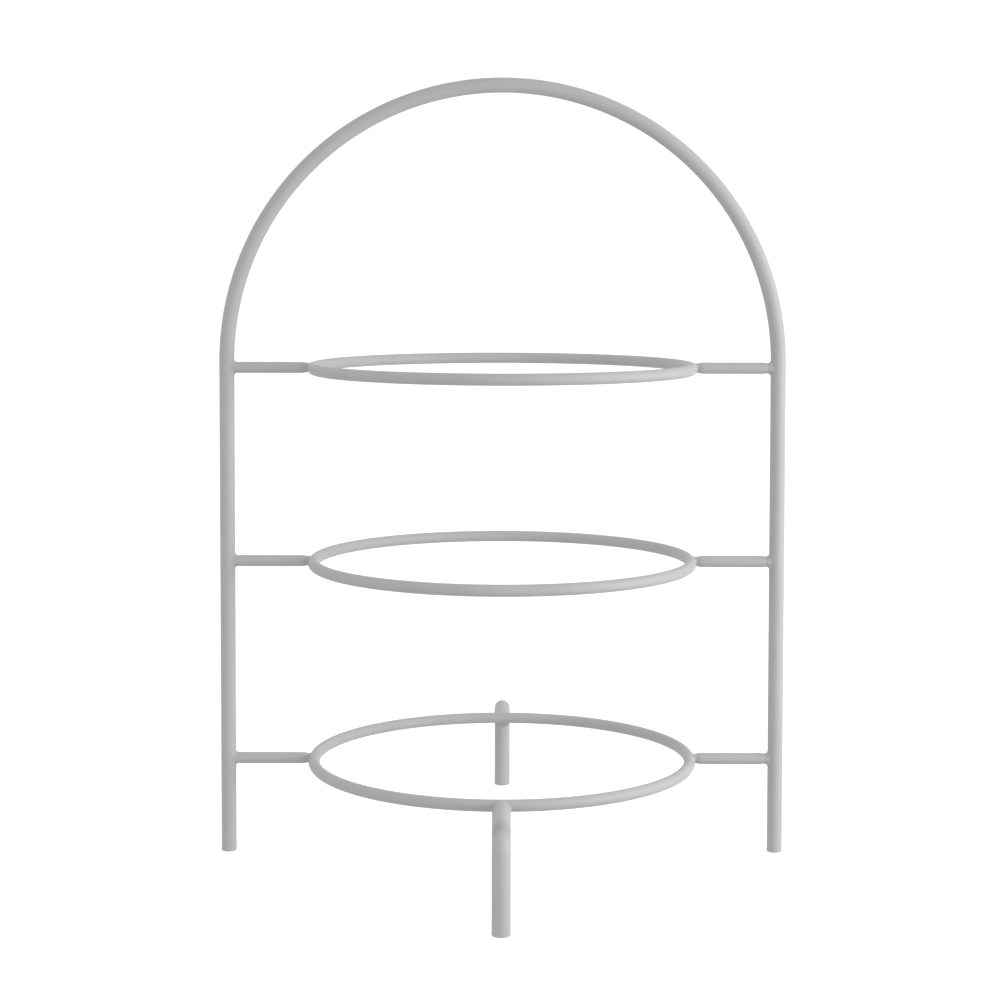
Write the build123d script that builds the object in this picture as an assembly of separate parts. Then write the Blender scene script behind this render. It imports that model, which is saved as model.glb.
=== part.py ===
from build123d import *
import os

# Three-tier plate stand: a bent-rod arch carries three plate rings on short
# spokes, and two bent-rod legs under the bottom ring give it four feet.
# Millimetres, +Z up, origin on the ground at the middle of the four feet.

# ---- driving dimensions -------------------------------------------------
ARCH_ROD_D = 8.0        # rod of the arch frame
LEG_ROD_D = 9.0         # rod of the front and back legs, a little heavier than the arch
RING_ROD_D = 6.0        # rod of the plate rings
SPOKE_ROD_D = 6.0       # rod of the spokes

HALF_SPAN = 146.0       # axis of each upright from the middle
ARCH_SPRING_Z = 262.0   # height at which the uprights turn into the half circle
RING_RADIUS = 100.0     # centreline radius of the plate rings
RING_Z = {"top": 259.0, "middle": 156.0, "bottom": 50.0}

LEG_REACH = 145.5       # axis of each leg's foot from the middle
LEG_BEND_R = 12.0       # centreline radius of the leg's bend
LEG_END_Y = 102.0       # where the leg's run stops against the bottom ring

FOOT_EDGE_R = 0.7       # rounding of the sawn rod ends that stand on the ground

NECK_LEN = 2.6          # spoke end squeezed down where it is welded to the ring
NECK_END_R = 2.3

UPRIGHT_BEAD_R = 0.95   # section radius of the weld bead, spoke to upright
UPRIGHT_BEAD_X = 142.45
RING_BEAD_R = 0.68      # section radius of the weld bead, spoke to ring
RING_BEAD_X = 102.55
LEG_BEAD_R = 0.90       # section radius of the weld bead, leg to ring
LEG_BEAD_MAJOR = 4.10
LEG_BEAD_Y = 102.30

# ---- derived ------------------------------------------------------------
ARCH_R = ARCH_ROD_D / 2
LEG_R = LEG_ROD_D / 2
RING_R = RING_ROD_D / 2
SPOKE_R = SPOKE_ROD_D / 2
RING_OUT = RING_RADIUS + RING_R
LEG_RUN_Z = RING_Z["bottom"] + RING_R - LEG_R   # run's top is flush with the ring's top
SEAT_Z = RING_Z["bottom"] + RING_R

os.makedirs("parts", exist_ok=True)


def one_solid(shape, name):
    solids = shape.solids()
    if len(solids) != 1:
        raise RuntimeError(f"{name} came out as {len(solids)} solids")
    return solids[0]


def rod_along(path, radius):
    """A round rod swept along a path that starts at path @ 0."""
    section = Plane(path @ 0, z_dir=path % 0) * Circle(radius)
    return sweep(section, path=path)


# ---- arch frame: two uprights and the half circle, one continuous rod ----
spring_l = (-HALF_SPAN, 0, ARCH_SPRING_Z)
spring_r = (HALF_SPAN, 0, ARCH_SPRING_Z)
crown = (0, 0, ARCH_SPRING_Z + HALF_SPAN)
arch_path = Wire([
    Edge.make_line((-HALF_SPAN, 0, 0), spring_l),
    Edge.make_three_point_arc(spring_l, crown, spring_r),
    Edge.make_line(spring_r, (HALF_SPAN, 0, 0)),
])
arch = one_solid(rod_along(arch_path, ARCH_R), "arch_frame")
arch_feet = [e for e in arch.edges().filter_by(GeomType.CIRCLE)
             if abs(e.center().Z) < 1e-6]
arch = one_solid(fillet(arch_feet, FOOT_EDGE_R), "arch_frame")

# ---- plate rings ---------------------------------------------------------
rings = {n: one_solid(Pos(0, 0, z) * Torus(RING_RADIUS, RING_R), n)
         for n, z in RING_Z.items()}


# ---- spokes: from the inner side of the upright to the outside of the ring
def raw_spoke(side, z):
    neck_x = RING_OUT + NECK_LEN
    bar = Pos((neck_x + HALF_SPAN) / 2, 0, 0) * Rot(0, 90, 0) * Cylinder(
        SPOKE_R, HALF_SPAN - neck_x)
    # the neck narrows towards the ring and runs into it
    slope = (SPOKE_R - NECK_END_R) / NECK_LEN
    tip_x = RING_RADIUS + 0.5
    tip_r = NECK_END_R - slope * 0.0
    profile = make_face(Polyline(
        (tip_x, 0), (tip_x, tip_r), (RING_OUT, tip_r), (neck_x, SPOKE_R),
        (neck_x, 0), close=True))
    neck = revolve(profile, axis=Axis.X)      # profile lies in the XY plane
    spoke = bar + neck
    if side < 0:
        spoke = mirror(spoke, about=Plane.YZ)
    return Pos(0, 0, z) * spoke


def biggest(shape, name):
    solids = sorted(shape.solids(), key=lambda s: -s.volume)
    if not solids:
        raise RuntimeError(f"{name} is empty")
    return solids[0]


spokes = {}
for n, z in RING_Z.items():
    for side, word in ((-1, "left"), (1, "right")):
        cut = raw_spoke(side, z) - arch - rings[n]
        spokes[(n, side)] = biggest(cut, f"{n}_{word}_spoke")


# ---- legs: horizontal run out from the bottom ring, bend, down to the foot
def make_leg(side):
    run_end = LEG_REACH - LEG_BEND_R
    k = LEG_BEND_R * 0.7071067811865476
    p0 = (0, side * LEG_REACH, 0)
    p1 = (0, side * LEG_REACH, LEG_RUN_Z - LEG_BEND_R)
    pm = (0, side * (run_end + k), LEG_RUN_Z - LEG_BEND_R + k)
    p2 = (0, side * run_end, LEG_RUN_Z)
    p3 = (0, side * LEG_END_Y, LEG_RUN_Z)
    path = Wire([Edge.make_line(p0, p1), Edge.make_three_point_arc(p1, pm, p2),
                 Edge.make_line(p2, p3)])
    leg = one_solid(rod_along(path, LEG_R), "leg")
    foot = [e for e in leg.edges().filter_by(GeomType.CIRCLE)
            if abs(e.center().Z) < 1e-6]
    leg = one_solid(fillet(foot, FOOT_EDGE_R), "leg")
    return biggest(leg - rings["bottom"], "leg")


legs = {"front": make_leg(-1), "back": make_leg(1)}


# ---- weld beads ------------------------------------------------------------
def bead_upright(side, n):
    ring_of_metal = Pos(side * UPRIGHT_BEAD_X, 0, RING_Z[n]) * Rot(0, 90, 0) * Torus(
        SPOKE_R, UPRIGHT_BEAD_R)
    return biggest(ring_of_metal - arch - raw_spoke(side, RING_Z[n]), "bead")


def bead_ring(side, n):
    ring_of_metal = Pos(side * RING_BEAD_X, 0, RING_Z[n]) * Rot(0, 90, 0) * Torus(
        NECK_END_R, RING_BEAD_R)
    return biggest(ring_of_metal - rings[n] - raw_spoke(side, RING_Z[n]), "bead")


def bead_leg(side, leg):
    ring_of_metal = Pos(0, side * LEG_BEAD_Y, LEG_RUN_Z) * Rot(90, 0, 0) * Torus(
        LEG_BEAD_MAJOR, LEG_BEAD_R)
    # nothing stands above the seat that the plate rests on
    above = Pos(0, side * LEG_BEAD_Y, SEAT_Z + 5) * Box(30, 30, 10)
    # the metal inside the rod itself belongs to the leg
    run = Pos(0, side * (LEG_END_Y + 10), LEG_RUN_Z) * Rot(90, 0, 0) * Cylinder(LEG_R, 20)
    return biggest(ring_of_metal - above - run - rings["bottom"], "bead")


welds = {
    n: [bead_upright(-1, n), bead_ring(-1, n), bead_ring(1, n), bead_upright(1, n)]
    for n in RING_Z
}
leg_beads = [bead_leg(-1, legs["front"]), bead_leg(1, legs["back"])]

# ---- export ------------------------------------------------------------------
nodes = {"arch_frame": arch}
for n in RING_Z:
    nodes[f"{n}_ring"] = rings[n]
    nodes[f"{n}_left_spoke"] = spokes[(n, -1)]
    nodes[f"{n}_right_spoke"] = spokes[(n, 1)]
    nodes[f"{n}_ring_welds"] = Compound(children=welds[n])
nodes["front_leg"] = legs["front"]
nodes["back_leg"] = legs["back"]
nodes["leg_welds"] = Compound(children=leg_beads)

total = 0.0
for name, shape in nodes.items():
    export_step(shape, f"parts/{name}.step")
    bb = shape.bounding_box()
    total += shape.volume
    print(f"{name:20s} solids {len(shape.solids())} vol {shape.volume:10.3f} "
          f"x {bb.min.X:8.2f}..{bb.max.X:8.2f} y {bb.min.Y:8.2f}..{bb.max.Y:8.2f} "
          f"z {bb.min.Z:7.2f}..{bb.max.Z:7.2f}")
print("total volume mm3", round(total, 1), "steel mass kg", round(total * 7.85e-6, 3))
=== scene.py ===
import math

import bmesh
import bpy
from mathutils import Matrix, Vector


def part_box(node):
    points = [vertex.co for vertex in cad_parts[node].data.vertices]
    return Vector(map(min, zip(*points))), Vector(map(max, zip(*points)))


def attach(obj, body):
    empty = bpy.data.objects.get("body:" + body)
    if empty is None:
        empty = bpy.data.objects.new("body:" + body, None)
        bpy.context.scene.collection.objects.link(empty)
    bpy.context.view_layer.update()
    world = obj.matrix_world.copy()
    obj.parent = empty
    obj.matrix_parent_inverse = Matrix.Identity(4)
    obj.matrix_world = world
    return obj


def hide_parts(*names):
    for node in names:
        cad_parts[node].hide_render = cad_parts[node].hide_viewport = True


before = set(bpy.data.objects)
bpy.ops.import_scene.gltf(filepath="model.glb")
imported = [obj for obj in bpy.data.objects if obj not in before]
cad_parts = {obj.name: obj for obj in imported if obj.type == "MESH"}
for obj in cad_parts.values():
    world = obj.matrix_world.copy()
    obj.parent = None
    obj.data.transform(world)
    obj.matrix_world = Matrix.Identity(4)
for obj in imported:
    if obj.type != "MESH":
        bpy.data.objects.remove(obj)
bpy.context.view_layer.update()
scene = bpy.context.scene
MM = 0.001

# ---------------------------------------------------------------------------
# sizes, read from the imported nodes
# ---------------------------------------------------------------------------
arch_lo, arch_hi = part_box("arch_frame")
ROD = (arch_hi.y - arch_lo.y) / 2                    # radius of the arch rod
SPAN = arch_hi.x - ROD                               # axis of an upright
SPRING = arch_hi.z - ROD - SPAN                      # where the half circle starts
TIERS = ("top", "middle", "bottom")
ring_lo, ring_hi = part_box("bottom_ring")
WIRE = (ring_hi.z - ring_lo.z) / 2                   # radius of the ring rod
RING = round((ring_hi.x - WIRE) * 1000) / 1000       # centreline radius of a ring
RING_Z = {t: (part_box(t + "_ring")[0].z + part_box(t + "_ring")[1].z) / 2 for t in TIERS}
leg_lo, leg_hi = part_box("front_leg")
LEG = leg_hi.x                                       # radius of the leg rod
REACH = -leg_lo.y - LEG                              # axis of a leg's foot
LEG_END = -leg_hi.y                                  # where its run stops at the ring
RUN_Z = leg_hi.z - LEG                               # height of the run's axis
BEND = 12.0 * MM                                     # centreline radius of its bend
SPOKE = WIRE
NECK = 2.55 * MM                                     # radius of a spoke's end at the ring
FOOT_EDGE = 0.7 * MM
RING_OUT = RING + WIRE


# ---------------------------------------------------------------------------
# mesh helpers
# ---------------------------------------------------------------------------
def add_mesh(name, verts, faces):
    mesh = bpy.data.meshes.new(name)
    mesh.from_pydata([tuple(v) for v in verts], [], faces)
    bm = bmesh.new()
    bm.from_mesh(mesh)
    bmesh.ops.remove_doubles(bm, verts=bm.verts, dist=1e-7)
    bmesh.ops.recalc_face_normals(bm, faces=bm.faces)
    bm.to_mesh(mesh)
    bm.free()
    for p in mesh.polygons:
        p.use_smooth = True
    mesh.set_sharp_from_angle(angle=math.radians(50))
    mesh.update()
    obj = bpy.data.objects.new(name, mesh)
    scene.collection.objects.link(obj)
    return obj


def skin(loops, closed_along=False):
    """Quads between neighbouring loops of the same number of points."""
    n = len(loops[0])
    verts = [p for loop in loops for p in loop]
    faces = []
    count = len(loops)
    for i in range(count if closed_along else count - 1):
        a, b = i * n, ((i + 1) % count) * n
        for k in range(n):
            m = (k + 1) % n
            faces.append((a + k, a + m, b + m, b + k))
    return verts, faces


def cap(verts, faces, first, n, centre, steps=3, reverse=False):
    """Closes a loop of n points with concentric rings, so that the flat shades cleanly."""
    rim = [Vector(verts[first + k]) for k in range(n)]
    prev = [first + k for k in range(n)]
    for s in range(1, steps):
        f = 1 - s / steps
        base = len(verts)
        verts.extend(centre + (p - centre) * f for p in rim)
        cur = [base + k for k in range(n)]
        for k in range(n):
            m = (k + 1) % n
            faces.append((prev[k], prev[m], cur[m], cur[k]))
        prev = cur
    verts.append(centre.copy())
    c = len(verts) - 1
    for k in range(n):
        faces.append((prev[k], prev[(k + 1) % n], c))


def loop_at(centre, tangent, side, radius, sides):
    up = side.cross(tangent).normalized()
    return [centre + side * (radius * math.cos(2 * math.pi * k / sides))
            + up * (radius * math.sin(2 * math.pi * k / sides)) for k in range(sides)]


def rod(name, stations, side, sides):
    """A round rod through stations (centre, tangent, radius), capped at both ends."""
    loops = [loop_at(c, t.normalized(), side, r, sides) for c, t, r in stations]
    verts, faces = skin(loops)
    cap(verts, faces, 0, sides, stations[0][0])
    cap(verts, faces, (len(loops) - 1) * sides, sides, stations[-1][0])
    return add_mesh(name, verts, faces)


def foot(x, y, radius, steps=7):
    """Stations up from the ground for a sawn end with a rounded edge."""
    out = []
    for i in range(steps + 1):
        a = math.pi / 2 * i / steps
        z = FOOT_EDGE * (1 - math.cos(a))
        out.append((Vector((x, y, z)), Vector((0, 0, 1)), radius - FOOT_EDGE + FOOT_EDGE * math.sin(a)))
    return out


def straight(p, q, step, radius, first=False, last=False):
    d = q - p
    n = max(1, round(d.length / step))
    lo, hi = (0 if first else 1), (n if last else n - 1)
    return [(p + d * (i / n), d, radius) for i in range(lo, hi + 1)]


# ---------------------------------------------------------------------------
# arch frame
# ---------------------------------------------------------------------------
def build_arch():
    left = foot(-SPAN, 0, ROD)
    start = Vector((-SPAN, 0, FOOT_EDGE))
    top = Vector((-SPAN, 0, SPRING))
    st = left + straight(start, top, 4 * MM, ROD)
    n = 240
    for i in range(n + 1):
        a = math.pi * i / n
        st.append((Vector((-SPAN * math.cos(a), 0, SPRING + SPAN * math.sin(a))),
                   Vector((math.sin(a), 0, math.cos(a))), ROD))
    down = [(c.copy(), -t, r) for c, t, r in reversed(st[:len(left) + len(st) - len(left) - n - 1])]
    st += [(Vector((SPAN, 0, c.z)), Vector((0, 0, -1)), r) for c, t, r in down]
    return rod("arch_rod", st, Vector((0, 1, 0)), 48)


# ---------------------------------------------------------------------------
# plate rings
# ---------------------------------------------------------------------------
def build_ring(tier):
    z = RING_Z[tier]
    loops = []
    n, sides = 320, 40
    for i in range(n):
        a = 2 * math.pi * i / n
        out = Vector((math.cos(a), math.sin(a), 0))
        loops.append([out * (RING + WIRE * math.cos(b)) + Vector((0, 0, z + WIRE * math.sin(b)))
                      for b in (2 * math.pi * k / sides for k in range(sides))])
    verts, faces = skin(loops, closed_along=True)
    return add_mesh(tier + "_ring_rod", verts, faces)


# ---------------------------------------------------------------------------
# spokes: a straight rod with a squeezed neck, coped to the ring and the upright
# ---------------------------------------------------------------------------
def ring_face_x(y, dz):
    return math.sqrt(max((RING + math.sqrt(max(WIRE * WIRE - dz * dz, 0))) ** 2 - y * y, 0))


def upright_face_x(y):
    return SPAN - math.sqrt(max(ROD * ROD - y * y, 0))


def spoke_radius(x, side):
    """Radius of a spoke at distance x: eased down to the ring, and with a faint groove
    burnt in beside the weld on the upright, deeper on the right-hand joints."""
    t = min(max((x - (RING_OUT + 0.2 * MM)) / (3.0 * MM), 0), 1)
    t = t * t * (3 - 2 * t)
    groove = (0.30 if side > 0 else 0.06) * MM
    d = (x - (SPAN - ROD - 2.0 * MM)) / (0.85 * MM)
    return NECK + (SPOKE - NECK) * t - groove * math.exp(-d * d)


def build_spoke(tier, side, word):
    z = RING_Z[tier]
    sides = 48
    ang = [2 * math.pi * k / sides for k in range(sides)]
    sink = 0.15 * MM
    loops = [[Vector((ring_face_x(NECK * math.cos(a), NECK * math.sin(a)) - sink,
                      NECK * math.cos(a), NECK * math.sin(a))) for a in ang]]
    x_end = SPAN - ROD - 0.2 * MM
    xs = [RING_OUT + 0.2 * MM + i * 0.2 * MM for i in range(18)]
    fine = [x_end - i * 0.2 * MM for i in range(22, -1, -1)]
    n = 18
    xs += [xs[-1] + (fine[0] - xs[-1]) * (i / n) for i in range(1, n)] + fine
    for x in xs:
        r = spoke_radius(x, side)
        loops.append([Vector((x, r * math.cos(a), r * math.sin(a))) for a in ang])
    loops.append([Vector((upright_face_x(SPOKE * math.cos(a)) + sink,
                          SPOKE * math.cos(a), SPOKE * math.sin(a))) for a in ang])
    verts, faces = skin(loops)
    cap(verts, faces, 0, sides, Vector((RING_OUT - 0.6 * MM, 0, 0)))
    cap(verts, faces, (len(loops) - 1) * sides, sides, Vector((SPAN - ROD + 0.8 * MM, 0, 0)))
    verts = [Vector((side * v.x, v.y, v.z + z)) for v in verts]
    return add_mesh(f"{tier}_{word}_spoke_rod", verts, faces)


# ---------------------------------------------------------------------------
# welds: a small collar of weld metal with its ripples, under the coating
# ---------------------------------------------------------------------------
def ripple(a, seed):
    """A smooth closed wave round the joint, about -1 to 1, the same each run."""
    return (0.5 * math.sin(11 * a + seed * 1.7) + 0.3 * math.sin(17 * a + seed * 2.9)
            + 0.2 * math.sin(5 * a + seed * 4.1))


def collar(edge_a, corner, edge_b, inner, around, seed, fill=0.30):
    """Verts and faces of a closed collar. Each argument is a function of the angle
    round the joint: the edge on one rod, the inside corner, the edge on the other
    rod, and a point buried in the metal that closes the section."""
    steps = 8
    loops = []
    for i in range(around):
        a = 2 * math.pi * i / around
        p, c, q, n = edge_a(a), corner(a), edge_b(a), inner(a)
        mid = (p + q) / 2
        c = c + (mid - c) * (fill + 0.10 * ripple(a, seed + 3))
        section = []
        for s in range(steps + 1):
            t = s / steps
            section.append(p * (1 - t) ** 2 + c * (2 * t * (1 - t)) + q * t * t)
        section.append(n)
        loops.append(section)
    return skin(loops, closed_along=True)


def merge(name, parts):
    verts, faces = [], []
    for v, f in parts:
        base = len(verts)
        verts.extend(v)
        faces.extend(tuple(base + k for k in face) for face in f)
    return add_mesh(name, verts, faces)


def upright_collar(side, z, seed):
    def on_spoke(a):
        reach = (1.45 + 0.14 * ripple(a, seed)) * MM
        x = upright_face_x(SPOKE * math.cos(a)) - reach
        r = spoke_radius(x, side) + 0.01 * MM
        return Vector((x, r * math.cos(a), r * math.sin(a)))

    def on_upright(a):
        # wide above and below, narrow where the two rods lie nearly flush
        r = SPOKE + (0.45 + 0.70 * math.sin(a) ** 2 + 0.10 * ripple(a, seed + 1)) * MM
        y = min(max(r * math.cos(a), -ROD * 0.985), ROD * 0.985)
        return Vector((upright_face_x(y) - 0.01 * MM, y, r * math.sin(a)))

    def corner(a):
        y = SPOKE * math.cos(a)
        return Vector((upright_face_x(y), y, SPOKE * math.sin(a)))

    def inner(a):
        r = SPOKE - 0.5 * MM
        return Vector((upright_face_x(SPOKE * math.cos(a)) + 0.4 * MM, r * math.cos(a), r * math.sin(a)))

    v, f = collar(on_spoke, corner, on_upright, inner, 120, seed, fill=0.22)
    return [Vector((side * p.x, p.y, p.z + z)) for p in v], f


def ring_collar(side, z, seed):
    def on_neck(a):
        reach = (0.85 + 0.10 * ripple(a, seed)) * MM
        x = ring_face_x(NECK * math.cos(a), NECK * math.sin(a)) + reach
        r = spoke_radius(x, side) + 0.01 * MM
        return Vector((x, r * math.cos(a), r * math.sin(a)))

    def on_ring(a):
        r = NECK + (0.22 + 0.04 * ripple(a, seed + 1)) * MM
        return Vector((ring_face_x(r * math.cos(a), r * math.sin(a)) + 0.01 * MM,
                       r * math.cos(a), r * math.sin(a)))

    def corner(a):
        return Vector((ring_face_x(NECK * math.cos(a), NECK * math.sin(a)),
                       NECK * math.cos(a), NECK * math.sin(a)))

    def inner(a):
        r = NECK - 0.4 * MM
        return Vector((ring_face_x(r * math.cos(a), r * math.sin(a)) - 0.4 * MM,
                       r * math.cos(a), r * math.sin(a)))

    v, f = collar(on_neck, corner, on_ring, inner, 96, seed, fill=0.25)
    return [Vector((side * p.x, p.y, p.z + z)) for p in v], f


def leg_collar(side, seed):
    zr = RING_Z["bottom"]

    def on_torus(x, z, proud=0.01 * MM):
        s = min(max((z - zr) / WIRE, -0.97), 0.97)
        psi = math.asin(s)
        out = RING + (WIRE + proud) * math.cos(psi)
        return Vector((x, math.sqrt(max(out * out - x * x, 0)), zr + (WIRE + proud) * math.sin(psi)))

    def corner(a):
        r = LEG + 0.02 * MM
        x, z = r * math.cos(a), min(RUN_Z + r * math.sin(a), RUN_Z + LEG)
        return Vector((x, max(LEG_END - 0.1 * MM, on_torus(x, z).y), z))

    def on_leg(a):
        reach = (1.15 + 0.14 * ripple(a, seed)) * MM
        r = LEG + 0.01 * MM
        return Vector((r * math.cos(a), corner(a).y + reach, min(RUN_Z + r * math.sin(a), RUN_Z + LEG)))

    def on_ring(a):
        r = LEG + (0.75 + 0.08 * ripple(a, seed + 1)) * MM
        return on_torus(r * math.cos(a), RUN_Z + r * math.sin(a))

    def inner(a):
        r = LEG - 0.9 * MM
        p = on_torus(r * math.cos(a), RUN_Z + r * math.sin(a), -0.5 * MM)
        p.y = max(p.y, LEG_END - 0.4 * MM)
        return p

    v, f = collar(on_leg, corner, on_ring, inner, 96, seed, fill=0.25)
    return [Vector((p.x, side * p.y, p.z)) for p in v], f


# ---------------------------------------------------------------------------
# legs
# ---------------------------------------------------------------------------
def build_leg(side, word):
    st = foot(0, side * REACH, LEG)
    bend_z = RUN_Z - BEND
    st += straight(Vector((0, side * REACH, FOOT_EDGE)), Vector((0, side * REACH, bend_z)), 3 * MM, LEG)
    n = 28
    for i in range(n + 1):
        a = math.pi / 2 * i / n
        c = Vector((0, side * (REACH - BEND + BEND * math.cos(a)), bend_z + BEND * math.sin(a)))
        st.append((c, Vector((0, -side * math.sin(a), math.cos(a))), LEG))
    p, q = Vector((0, side * (REACH - BEND), RUN_Z)), Vector((0, side * LEG_END, RUN_Z))
    st += straight(p, q, 3 * MM, LEG, last=True)
    return rod(word + "_leg_rod", st, Vector((1, 0, 0)), 48)


# ---------------------------------------------------------------------------
# material: satin powder coat
# ---------------------------------------------------------------------------
def powder_coat(name, grey, rough, seed, ripples=False, seat_z=None, bend_shade=None):
    mat = bpy.data.materials.new(name)
    mat.use_nodes = True
    nt = mat.node_tree
    nt.nodes.clear()
    N, L = nt.nodes.new, nt.links.new
    out, bsdf = N("ShaderNodeOutputMaterial"), N("ShaderNodeBsdfPrincipled")
    L(bsdf.outputs["BSDF"], out.inputs["Surface"])
    bsdf.inputs["IOR"].default_value = 1.5
    bsdf.inputs["Specular IOR Level"].default_value = 0.22
    where = N("ShaderNodeTexCoord").outputs["Object"]
    shift = N("ShaderNodeMapping")
    shift.inputs["Location"].default_value = (seed * 0.37, seed * 0.61, seed * 0.23)
    L(where, shift.inputs["Vector"])
    where_s = shift.outputs["Vector"]

    def noise(scale, detail, roughness=0.5):
        n = N("ShaderNodeTexNoise")
        n.inputs["Scale"].default_value = scale
        n.inputs["Detail"].default_value = detail
        n.inputs["Roughness"].default_value = roughness
        L(where_s, n.inputs["Vector"])
        return n.outputs["Fac"]

    def remap(value, lo, hi, to_lo, to_hi):
        m = N("ShaderNodeMapRange")
        m.inputs["From Min"].default_value, m.inputs["From Max"].default_value = lo, hi
        m.inputs["To Min"].default_value, m.inputs["To Max"].default_value = to_lo, to_hi
        m.clamp = True
        L(value, m.inputs["Value"])
        return m.outputs["Result"]

    def maths(op, a, b):
        m = N("ShaderNodeMath")
        m.operation = op
        for i, v in enumerate((a, b)):
            if isinstance(v, (int, float)):
                m.inputs[i].default_value = v
            else:
                L(v, m.inputs[i])
        return m.outputs[0]

    cloud = noise(34.0, 3.0)           # film thickness drifts over a few centimetres
    peel = noise(780.0, 2.0)           # orange peel, a little over a millimetre
    grain = noise(3600.0, 2.0)         # the powder's own grain

    # colour
    drift = remap(cloud, 0.3, 0.7, 0.970, 1.025)
    speck = remap(grain, 0.3, 0.7, 0.985, 1.015)
    level = maths("MULTIPLY", drift, speck)
    # the coat is thin and rubbed where the rod ends and the seats touch things
    split = N("ShaderNodeSeparateXYZ")
    L(where, split.inputs["Vector"])
    rub_foot = remap(split.outputs["Z"], 0.0002, 0.0016, 1.0, 0.0)
    ragged = remap(noise(1500.0, 3.0), 0.42, 0.60, 0.0, 1.0)
    rub_foot = maths("MULTIPLY", rub_foot, ragged)
    rub = rub_foot
    if seat_z is not None:
        up = remap(split.outputs["Z"], seat_z - 0.0009, seat_z, 0.0, 1.0)
        rub_seat = maths("MULTIPLY", up, remap(noise(210.0, 3.0), 0.45, 0.72, 0.0, 0.8))
        rub = maths("MAXIMUM", rub_foot, rub_seat)
    if bend_shade is not None:
        # painted shade: the colour is darkened in a soft band over the upper shoulder of the bend, in place of
        # the shade that falls there
        dy = maths("SUBTRACT", maths("ABSOLUTE", split.outputs["Y"], 0.0), bend_shade[0])
        dz = maths("SUBTRACT", split.outputs["Z"], bend_shade[1])
        far = maths("SQRT", maths("ADD", maths("MULTIPLY", dy, dy), maths("MULTIPLY", dz, dz)), 0.0)
        bend_shade_mask = N("ShaderNodeMapRange")
        bend_shade_mask.interpolation_type = "SMOOTHSTEP"
        bend_shade_mask.inputs["From Min"].default_value, bend_shade_mask.inputs["From Max"].default_value = 0.0, bend_shade[2]
        bend_shade_mask.inputs["To Min"].default_value, bend_shade_mask.inputs["To Max"].default_value = 1.0, 0.0
        L(far, bend_shade_mask.inputs["Value"])
        bend_shade_depth = maths("MULTIPLY", bend_shade_mask.outputs["Result"], remap(noise(300.0, 2.0), 0.3, 0.7, 0.12, 0.17))
        level = maths("MULTIPLY", level, maths("SUBTRACT", 1.0, bend_shade_depth))
    base = N("ShaderNodeMix")
    base.data_type = "RGBA"
    base.inputs["A"].default_value = (grey, grey, grey, 1)
    worn = grey * 0.90
    base.inputs["B"].default_value = (worn, worn, worn, 1)
    L(maths("MULTIPLY", rub, 0.6), base.inputs["Factor"])
    tint = N("ShaderNodeVectorMath")
    tint.operation = "SCALE"
    L(base.outputs["Result"], tint.inputs[0])
    L(level, tint.inputs["Scale"])
    L(tint.outputs[0], bsdf.inputs["Base Color"])

    # roughness: the peel's crests are a touch smoother, rubbed places are polished
    r = remap(peel, 0.3, 0.7, rough + 0.035, rough - 0.035)
    r = maths("ADD", r, remap(cloud, 0.3, 0.7, -0.025, 0.025))
    r = maths("SUBTRACT", r, maths("MULTIPLY", rub, 0.10))
    L(r, bsdf.inputs["Roughness"])

    # relief
    height = maths("ADD", maths("MULTIPLY", peel, 0.045 * MM), maths("MULTIPLY", grain, 0.005 * MM))
    if ripples:
        height = maths("ADD", height, maths("MULTIPLY", noise(1400.0, 1.0), 0.05 * MM))
    bump = N("ShaderNodeBump")
    bump.inputs["Strength"].default_value = 1.0
    bump.inputs["Distance"].default_value = 1.0
    L(height, bump.inputs["Height"])
    L(bump.outputs["Normal"], bsdf.inputs["Normal"])
    return mat


GREY = 0.40
ROUGH = 0.52
MATS = {
    "arch": powder_coat("arch_powder_coat", GREY, ROUGH, 1),
    # the leg's coat carries a painted shade band over the outside of its bend
    "leg": powder_coat("leg_powder_coat", GREY, ROUGH, 2,
                       bend_shade=(REACH - BEND + (BEND + LEG) * 0.5, RUN_Z - BEND + (BEND + LEG) * 0.866, 7.5 * MM)),
    "weld": powder_coat("weld_powder_coat", GREY * 0.985, ROUGH + 0.04, 3, ripples=True),
}
for i, t in enumerate(TIERS):
    MATS[t] = powder_coat(t + "_ring_powder_coat", GREY, ROUGH, 4 + i, seat_z=RING_Z[t] + WIRE)
    MATS[t + "_spoke"] = powder_coat(t + "_spoke_powder_coat", GREY, ROUGH, 8 + i)


def finish_piece(obj, material, slot, *nodes):
    obj.data.materials.clear()
    obj.data.materials.append(material)
    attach(obj, "root")
    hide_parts(*nodes)
    return obj


finish_piece(build_arch(), MATS["arch"], "arch_coat", "arch_frame")
for i, t in enumerate(TIERS):
    finish_piece(build_ring(t), MATS[t], "ring_coat", t + "_ring")
    for side, word in ((-1, "left"), (1, "right")):
        finish_piece(build_spoke(t, side, word), MATS[t + "_spoke"], "ring_coat", f"{t}_{word}_spoke")
    beads = []
    for j, side in enumerate((-1, 1)):
        beads.append(upright_collar(side, RING_Z[t], 10 * i + 3 * j + 1))
        beads.append(ring_collar(side, RING_Z[t], 10 * i + 3 * j + 2))
    finish_piece(merge(t + "_ring_weld_beads", beads), MATS["weld"], "weld_coat", t + "_ring_welds")
for side, word in ((-1, "front"), (1, "back")):
    finish_piece(build_leg(side, word), MATS["leg"], "leg_coat", word + "_leg")
finish_piece(merge("leg_weld_beads", [leg_collar(-1, 41), leg_collar(1, 47)]),
             MATS["weld"], "weld_coat", "leg_welds")

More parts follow.
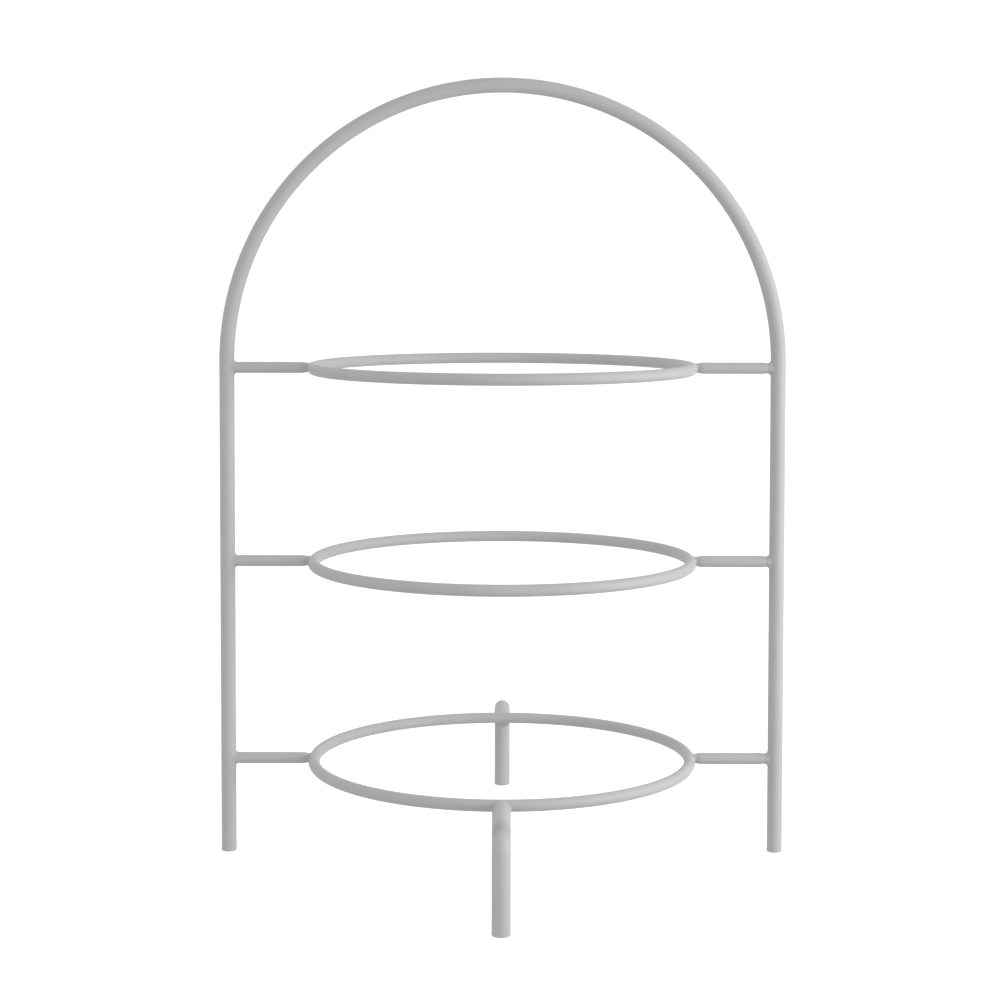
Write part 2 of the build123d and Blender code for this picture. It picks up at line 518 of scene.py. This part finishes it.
# ---------------------------------------------------------------------------
# studio: a white cove all round, soft light
# ---------------------------------------------------------------------------
def build_cove():
    """Floor that curves up into a round wall, so that no horizon shows from any side."""
    profile = [(0.0, 0.0), (0.3, 0.0), (0.8, 0.0), (1.6, 0.0), (2.4, 0.0)]
    r0, rise = 2.4, 1.2
    for i in range(1, 25):
        a = math.pi / 2 * i / 24
        profile.append((r0 + rise * math.sin(a), rise * (1 - math.cos(a))))
    profile.append((r0 + rise, 4.0))
    n = 96
    loops = [[Vector((r * math.cos(2 * math.pi * k / n), r * math.sin(2 * math.pi * k / n), z))
              for k in range(n)] for r, z in profile[1:]]
    verts, faces = skin(loops)
    cap(verts, faces, 0, n, Vector((0, 0, 0)), steps=1)
    return add_mesh("studio_cove", verts, faces)


cove = build_cove()
paper = bpy.data.materials.new("white_paper")
paper.use_nodes = True
pn = paper.node_tree
pb = pn.nodes["Principled BSDF"]
pb.inputs["Base Color"].default_value = (0.80, 0.80, 0.80, 1)
pb.inputs["Roughness"].default_value = 0.95
pb.inputs["Specular IOR Level"].default_value = 0.0
pb.inputs["Emission Color"].default_value = (1, 1, 1, 1)
pb.inputs["Emission Strength"].default_value = 0.40
cove.data.materials.append(paper)
cove.visible_diffuse = False
cove.visible_shadow = False

world = bpy.data.worlds.new("studio")
scene.world = world
world.use_nodes = True
world.node_tree.nodes["Background"].inputs["Color"].default_value = (1, 1, 1, 1)
world.node_tree.nodes["Background"].inputs["Strength"].default_value = 0.700


def softbox(name, place, aim, width, height, watts):
    data = bpy.data.lights.new(name, "AREA")
    data.shape = "RECTANGLE"
    data.size, data.size_y = width, height
    data.energy = watts
    data.color = (1, 1, 1)
    lamp = bpy.data.objects.new(name, data)
    scene.collection.objects.link(lamp)
    lamp.location = place
    lamp.rotation_mode = "QUATERNION"
    lamp.rotation_quaternion = (Vector(aim) - Vector(place)).to_track_quat("-Z", "Y")
    lamp.visible_camera = False
    return lamp


def overhead(name, strength):
    """Even light from the whole upper half, like a large scrim over the table."""
    data = bpy.data.lights.new(name, "SUN")
    data.energy = strength
    data.angle = math.radians(178)
    data.color = (1, 1, 1)
    lamp = bpy.data.objects.new(name, data)
    scene.collection.objects.link(lamp)
    lamp.location = (0.0, 0.0, 2.0)
    return lamp


softbox("key_right", (0.95, -0.32, 0.42), (0.0, 0.0, 0.21), 0.50, 0.60, 3.3)
softbox("key_low", (0.95, -0.32, 0.20), (0.0, 0.0, 0.12), 0.50, 0.40, 3.3)
softbox("fill_left", (-1.6, -0.8, 0.30), (0.0, 0.0, 0.15), 1.2, 1.2, 1.0)
softbox("card_front", (0.05, -0.90, 0.075), (0.0, 0.0, 0.06), 0.9, 0.13, 0.75)
overhead("scrim", 0.72)

# ---------------------------------------------------------------------------
# camera
# ---------------------------------------------------------------------------
cam_data = bpy.data.cameras.new("camera")
cam = bpy.data.objects.new("camera", cam_data)
scene.collection.objects.link(cam)
scene.camera = cam
FOCAL = 2215.227
yaw, pitch, roll = (math.radians(v) for v in (-0.138, 3.105, 0.095))
fwd = Vector((math.sin(yaw) * math.cos(pitch), math.cos(yaw) * math.cos(pitch), -math.sin(pitch)))
right = Vector((math.cos(yaw), -math.sin(yaw), 0))
up = right.cross(fwd)
r2 = right * math.cos(roll) + up * math.sin(roll)
u2 = -right * math.sin(roll) + up * math.cos(roll)
turn = Matrix((r2, u2, -fwd)).transposed()
cam.matrix_world = Matrix.Translation(Vector((1.518, -1171.257, 326.676)) * MM) @ turn.to_4x4()
cam_data.sensor_width = 36.0
cam_data.lens = FOCAL / 1000.0 * 36.0
cam_data.shift_x = 0.0
cam_data.shift_y = -0.140
cam_data.clip_start, cam_data.clip_end = 0.05, 20.0

scene.view_settings.view_transform = "Standard"
scene.view_settings.look = "None"
scene.view_settings.exposure = 0.0
scene.view_settings.gamma = 1.0
